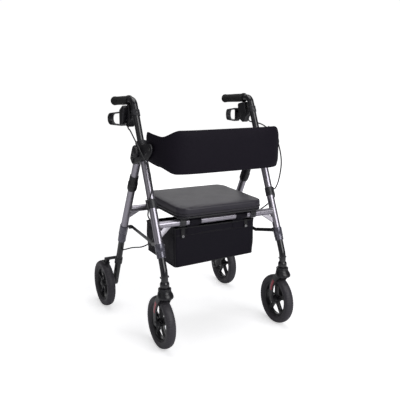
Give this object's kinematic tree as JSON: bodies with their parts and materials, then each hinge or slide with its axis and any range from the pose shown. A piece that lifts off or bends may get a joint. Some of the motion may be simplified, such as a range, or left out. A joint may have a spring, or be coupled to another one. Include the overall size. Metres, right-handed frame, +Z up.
{
  "type": "four-wheel walker",
  "caption": "Folding walker on wheels with swivelling front casters, looped hand brakes, height-adjustable grips, a padded seat, a curved back band and a fabric bag under the seat.",
  "frame": {"origin": "on the floor under the middle of the walker's bounding box", "axes": "+Z up; -Y is the walking direction, with the casters and the back band; the grips and the user are on the +Y side; +X is the walker's left as the user sees it; the two sides mirror each other across X = 0"},
  "size_m": [0.6076, 0.6736, 0.8765],
  "materials": {
    "silver_tube": "satin anodised",
    "black_paint": "satin black",
    "black_plastic": "matte moulded",
    "grip_rubber": "soft matte",
    "tyre": "matte",
    "leatherette": "grained, semi-matte",
    "back_padding": "padded neoprene",
    "bag_fabric": "woven nylon",
    "zinc": "zinc plated",
    "cable": "smooth jacket"
  },
  "bodies": {
    "frame": {"front_leg_left": "silver_tube", "front_leg_right": "silver_tube", "front_cross_tube": "silver_tube", "front_lower_leg_left": "black_paint", "front_lower_leg_right": "black_paint", "hub_left": "black_plastic", "hub_right": "black_plastic", "hinge_bolt_left": "zinc", "hinge_bolt_right": "zinc", "cable_clip_left": "black_plastic", "cable_clip_right": "black_plastic", "backrest_pad": "back_padding", "bag": "bag_fabric", "lower_cable_left": "cable", "lower_cable_right": "cable"},
    "rear_frame": {"rear_leg_left": "silver_tube", "rear_leg_right": "silver_tube", "rear_cross_tube": "silver_tube", "rear_collar_left": "black_plastic", "rear_collar_right": "black_plastic", "rear_lower_leg_left": "black_paint", "rear_lower_leg_right": "black_paint", "brake_bracket_left": "black_plastic", "brake_bracket_right": "black_plastic", "rear_axle_left": "zinc", "rear_axle_right": "zinc"},
    "seat": {"seat_board": "black_plastic", "seat_pad": "leatherette"},
    "front_stays": {"front_stay_left": "black_paint", "front_stay_right": "black_paint"},
    "rear_stays": {"rear_stay_left": "black_paint", "rear_stay_right": "black_paint"},
    "handle_left": {"handle_tube_left": "black_paint", "grip_left": "grip_rubber", "brake_housing_left": "black_plastic", "upper_cable_left": "cable"},
    "brake_lever_left": {"brake_lever_left": "black_plastic"},
    "brake_shoe_left": {"brake_shoe_left": "black_plastic"},
    "height_knob_left": {"height_knob_left": "black_plastic"},
    "release_button_left": {"release_button_left": "zinc"},
    "caster_left": {"caster_fork_left": "black_plastic", "caster_axle_left": "zinc"},
    "front_wheel_left": {"front_tyre_left": "tyre", "front_rim_left": "black_plastic"},
    "rear_wheel_left": {"rear_tyre_left": "tyre", "rear_rim_left": "black_plastic"},
    "handle_right": {"handle_tube_right": "black_paint", "grip_right": "grip_rubber", "brake_housing_right": "black_plastic", "upper_cable_right": "cable"},
    "brake_lever_right": {"brake_lever_right": "black_plastic"},
    "brake_shoe_right": {"brake_shoe_right": "black_plastic"},
    "height_knob_right": {"height_knob_right": "black_plastic"},
    "release_button_right": {"release_button_right": "zinc"},
    "caster_right": {"caster_fork_right": "black_plastic", "caster_axle_right": "zinc"},
    "front_wheel_right": {"front_tyre_right": "tyre", "front_rim_right": "black_plastic"},
    "rear_wheel_right": {"rear_tyre_right": "tyre", "rear_rim_right": "black_plastic"}
  },
  "joints": [
    {"name": "frame_fold", "type": "hinge", "parent": "frame", "child": "rear_frame", "pos_m": [0, -0.05677, 0.6561], "axis": [-1, 0, 0], "range_deg": [0, 25], "deforming": ["lower_cable_left", "lower_cable_right"]},
    {"name": "seat_flip", "type": "hinge", "parent": "frame", "child": "seat", "pos_m": [0, -0.2064, 0.4376], "axis": [1, 0, 0], "range_deg": [0, 85]},
    {"name": "front_stays_fold", "type": "hinge", "parent": "frame", "child": "front_stays", "pos_m": [0, -0.228, 0.3701], "axis": [-1, 0, 0], "range_deg": [0, 91]},
    {"name": "rear_stays_fold", "type": "hinge", "parent": "rear_frame", "child": "rear_stays", "pos_m": [0, 0.085, 0.3651], "axis": [1, 0, 0], "range_deg": [0, 39]},
    {"name": "handle_height_left", "type": "slide", "parent": "frame", "child": "handle_left", "axis": [0, 0.3963, 0.9181], "range_m": [-0.06, 0.08], "deforming": ["upper_cable_left"]},
    {"name": "brake_lever_left", "type": "hinge", "parent": "handle_left", "child": "brake_lever_left", "pos_m": [0.246, 0.02, 0.7871], "axis": [1, 0, 0], "range_deg": [-14, 10], "stiffness_Nm_per_rad": 1.2},
    {"name": "brake_shoe_left", "type": "hinge", "parent": "rear_frame", "child": "brake_shoe_left", "pos_m": [0.287, 0.196, 0.2135], "axis": [-1, 0, 0], "range_deg": [-4.3, 3.1]},
    {"name": "height_knob_left", "type": "hinge", "parent": "frame", "child": "height_knob_left", "pos_m": [0.268, -0.10042, 0.6831], "axis": [1, 0, 0], "continuous": true},
    {"name": "release_button_left", "type": "slide", "parent": "frame", "child": "release_button_left", "axis": [1, 0, 0], "range_m": [-0.003, 0.003], "stiffness_N_per_m": 400},
    {"name": "caster_swivel_left", "type": "hinge", "parent": "frame", "child": "caster_left", "pos_m": [0.246, -0.2745, 0.21], "axis": [0, 0, 1], "continuous": true},
    {"name": "front_wheel_spin_left", "type": "hinge", "parent": "caster_left", "child": "front_wheel_left", "pos_m": [0.246, -0.2425, 0.095], "axis": [1, 0, 0], "continuous": true},
    {"name": "rear_wheel_spin_left", "type": "hinge", "parent": "rear_frame", "child": "rear_wheel_left", "pos_m": [0.287, 0.2425, 0.095], "axis": [1, 0, 0], "continuous": true},
    {"name": "handle_height_right", "type": "slide", "parent": "frame", "child": "handle_right", "axis": [0, 0.3963, 0.9181], "range_m": [-0.06, 0.08], "deforming": ["upper_cable_right"]},
    {"name": "brake_lever_right", "type": "hinge", "parent": "handle_right", "child": "brake_lever_right", "pos_m": [-0.246, 0.02, 0.7871], "axis": [1, 0, 0], "range_deg": [-14, 10], "stiffness_Nm_per_rad": 1.2},
    {"name": "brake_shoe_right", "type": "hinge", "parent": "rear_frame", "child": "brake_shoe_right", "pos_m": [-0.287, 0.196, 0.2135], "axis": [-1, 0, 0], "range_deg": [-4.3, 3.1]},
    {"name": "height_knob_right", "type": "hinge", "parent": "frame", "child": "height_knob_right", "pos_m": [-0.268, -0.10042, 0.6831], "axis": [1, 0, 0], "continuous": true},
    {"name": "release_button_right", "type": "slide", "parent": "frame", "child": "release_button_right", "axis": [1, 0, 0], "range_m": [-0.003, 0.003], "stiffness_N_per_m": 400},
    {"name": "caster_swivel_right", "type": "hinge", "parent": "frame", "child": "caster_right", "pos_m": [-0.246, -0.2745, 0.21], "axis": [0, 0, 1], "continuous": true},
    {"name": "front_wheel_spin_right", "type": "hinge", "parent": "caster_right", "child": "front_wheel_right", "pos_m": [-0.246, -0.2425, 0.095], "axis": [1, 0, 0], "continuous": true},
    {"name": "rear_wheel_spin_right", "type": "hinge", "parent": "rear_frame", "child": "rear_wheel_right", "pos_m": [-0.287, 0.2425, 0.095], "axis": [1, 0, 0], "continuous": true}
  ],
  "couplings": [
    {"joint": "front_stays_fold", "follows": "frame_fold", "ratio": 3.637},
    {"joint": "rear_stays_fold", "follows": "frame_fold", "ratio": 1.534},
    {"joint": "brake_shoe_left", "follows": "brake_lever_left", "ratio": 0.3},
    {"joint": "brake_shoe_right", "follows": "brake_lever_right", "ratio": 0.3}
  ]
}
